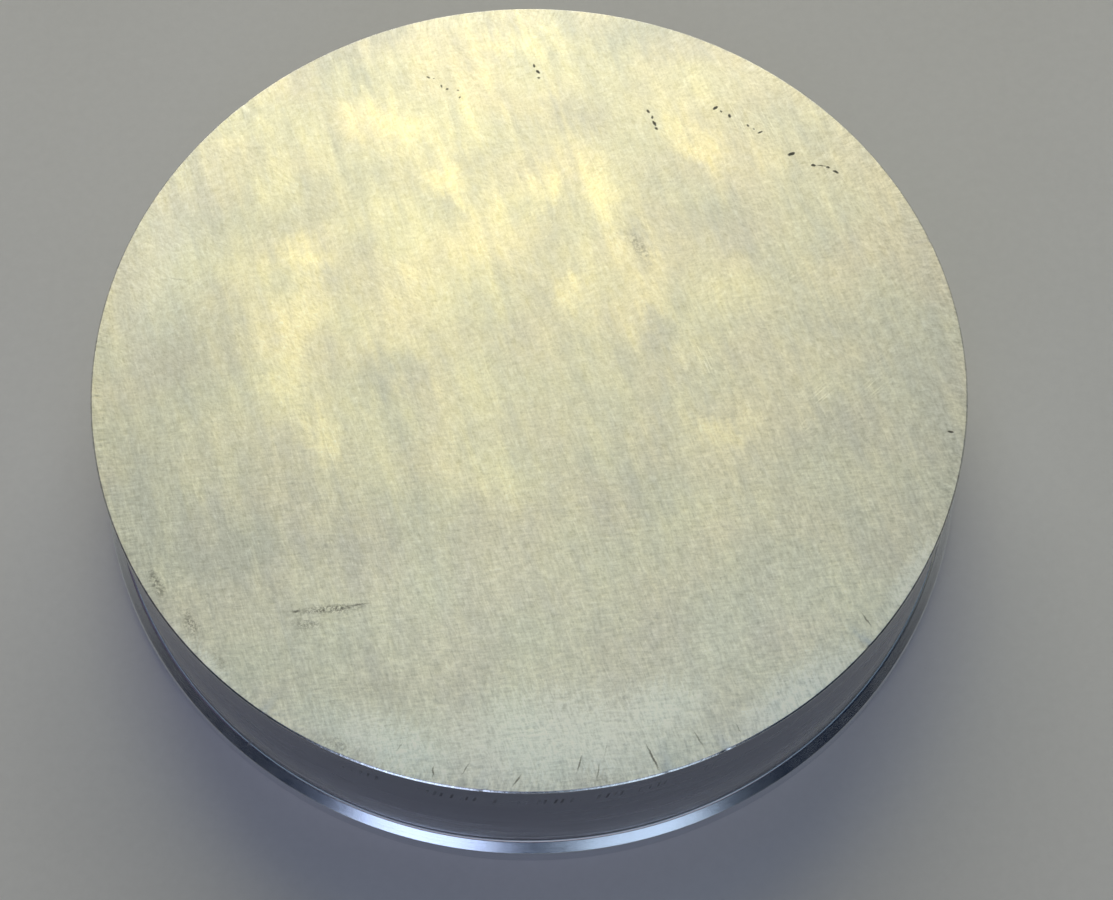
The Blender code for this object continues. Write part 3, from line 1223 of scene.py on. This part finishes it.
@dataclass
class Studio:
    """A pale floor, soft lights and the camera.

    Attributes:
        top: the height of the flange's outer face.
        radius: the radius of that face.
        floor_size: the side of the floor.
        floor_points: how many points the floor has along each side.
        distance: the camera's distance from the middle of the outer face, in radii of that face.
        elevation: the camera's elevation in degrees.
        aim: the point on the outer face that the camera looks at, in radii.
        roll: the camera's roll in degrees.
        lens: its focal length in millimetres.
        sensor: its sensor's width in millimetres.
        clip: the nearest and farthest distances that it sees.
        world: the colour of the room's dim light.
    """

    top: float
    radius: float
    floor_size: float = 6.0
    floor_points: int = 9
    distance: float = 5.566
    elevation: float = 63.0
    aim: tuple[float, float] = (0.0576, -0.2019)
    roll: float = 0.195
    lens: float = 78.8
    sensor: float = 36.0
    clip: tuple[float, float] = (0.01, 20.0)
    world: Color = (0.004, 0.010, 0.025, 1.0)
    lights: tuple[Softbox, ...] = (
        Softbox("key", -8.0, 50.0, (0.42, 0.34), (0.88, 0.875, 0.53)),
        Softbox("key_top", -4.0, 60.0, (0.42, 0.34), (1.16, 1.02, 0.36)),
        Softbox("back_high", 0.0, 50.0, (1.1, 0.34), (0.44, 0.31, 0.03)),
        Softbox("back_middle", 0.0, 38.0, (1.0, 0.36), (1.34, 1.31, 1.07)),
        Softbox("back_low", 0.0, 24.0, (1.25, 0.42), (2.32, 2.33, 2.24)),
        Softbox("overhead", 0.0, 84.0, (0.9, 0.7), (0.29, 0.41, 0.52)),
        Softbox("front_high", 180.0, 60.0, (1.1, 0.5), (0.56, 0.52, 0.58)),
        Softbox("side_right", 68.0, 30.0, (0.75, 0.6), (0.26, 0.26, 0.20)),
        Softbox("side_right_low", 60.0, 11.0, (0.6, 0.3), (0.12, 0.122, 0.117)),
        Softbox("side_left", -90.0, 32.0, (0.9, 0.5), (0.13, 0.09, 0.13)),
        Softbox("side_left_low", -60.0, 11.0, (0.6, 0.3), (0.19, 0.187, 0.187)),
        Softbox("window_right", 160.5, 13.0, (0.44, 0.34), (0.88, 1.10, 1.40)),
        Softbox("window_left", -158.5, 13.0, (0.46, 0.34), (1.36, 1.64, 2.35)),
    )

    def lay_floor(self) -> None:
        """Lay the floor: a flat grid of vertices (x, y, 0)."""
        reach = np.linspace(-self.floor_size / 2, self.floor_size / 2, self.floor_points)
        x, y = np.meshgrid(reach, reach)
        points = np.stack([x, y, np.zeros_like(x)], axis=-1).reshape(-1, 3)
        corner = np.arange(x.size).reshape(x.shape)
        quads = np.stack([corner[:-1, :-1], corner[:-1, 1:], corner[1:, 1:], corner[1:, :-1]], axis=-1)
        mesh = bpy.data.meshes.new("floor")
        mesh.from_pydata(points.tolist(), [], quads.reshape(-1, 4).tolist())
        mesh.materials.append(PaleFloor().material())
        floor = bpy.data.objects.new("floor", mesh)
        bpy.context.scene.collection.objects.link(floor)

    def place_camera(self) -> None:
        """Place the camera, and make it the scene's."""
        elevation = radians(self.elevation)
        centre = Vector((0.0, 0.0, self.top))
        place = centre + self.distance * self.radius * Vector((0.0, -cos(elevation), sin(elevation)))
        target = centre + self.radius * Vector((*self.aim, 0.0))
        data = bpy.data.cameras.new("camera")
        data.lens, data.sensor_width = self.lens, self.sensor
        data.clip_start, data.clip_end = self.clip
        camera = bpy.data.objects.new("camera", data)
        turn = (place - target).to_track_quat("Z", "Y").to_matrix().to_4x4()
        camera.matrix_world = Matrix.Translation(place) @ turn @ Matrix.Rotation(radians(self.roll), 4, "Z")
        bpy.context.scene.collection.objects.link(camera)
        bpy.context.scene.camera = camera

    def build(self) -> None:
        """Set up the floor, the lights, the room and the camera."""
        self.lay_floor()
        for light in self.lights:
            light.build()
        world = bpy.data.worlds.new("room")
        world.use_nodes = True
        world.node_tree.nodes["Background"].inputs["Color"].default_value = self.world
        bpy.context.scene.world = world
        bpy.context.scene.view_settings.view_transform = "Standard"
        self.place_camera()
        log.info("studio: %d lights", len(self.lights))


def main() -> None:
    """Build the pieces from the frame's boxes, then the studio."""
    logging.basicConfig(level=logging.INFO, format="%(name)s: %(message)s")
    _low, plate_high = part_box("blank_plate")
    _low, ring_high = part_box("clamp_lip_ring")
    seal_low, seal_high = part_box("face_seal_ring")
    bore = bore_of("clamp_lip_ring")
    seal_bore = bore_of("face_seal_ring")
    Blank(
        radius=plate_high.x, top=plate_high.z, foot=ring_high.z + SEAM, spigot=bore - SEAM,
        gland=(seal_bore - SEAM, seal_high.x + SEAM, seal_high.z + SEAM),
    ).build()
    LipRing(radius=ring_high.x, bore=bore, height=ring_high.z).build()
    FaceSeal(inner=seal_bore, outer=seal_high.x, low=seal_low.z, high=seal_high.z).build()
    Studio(top=plate_high.z, radius=plate_high.x).build()


if __name__ == "__main__":
    main()
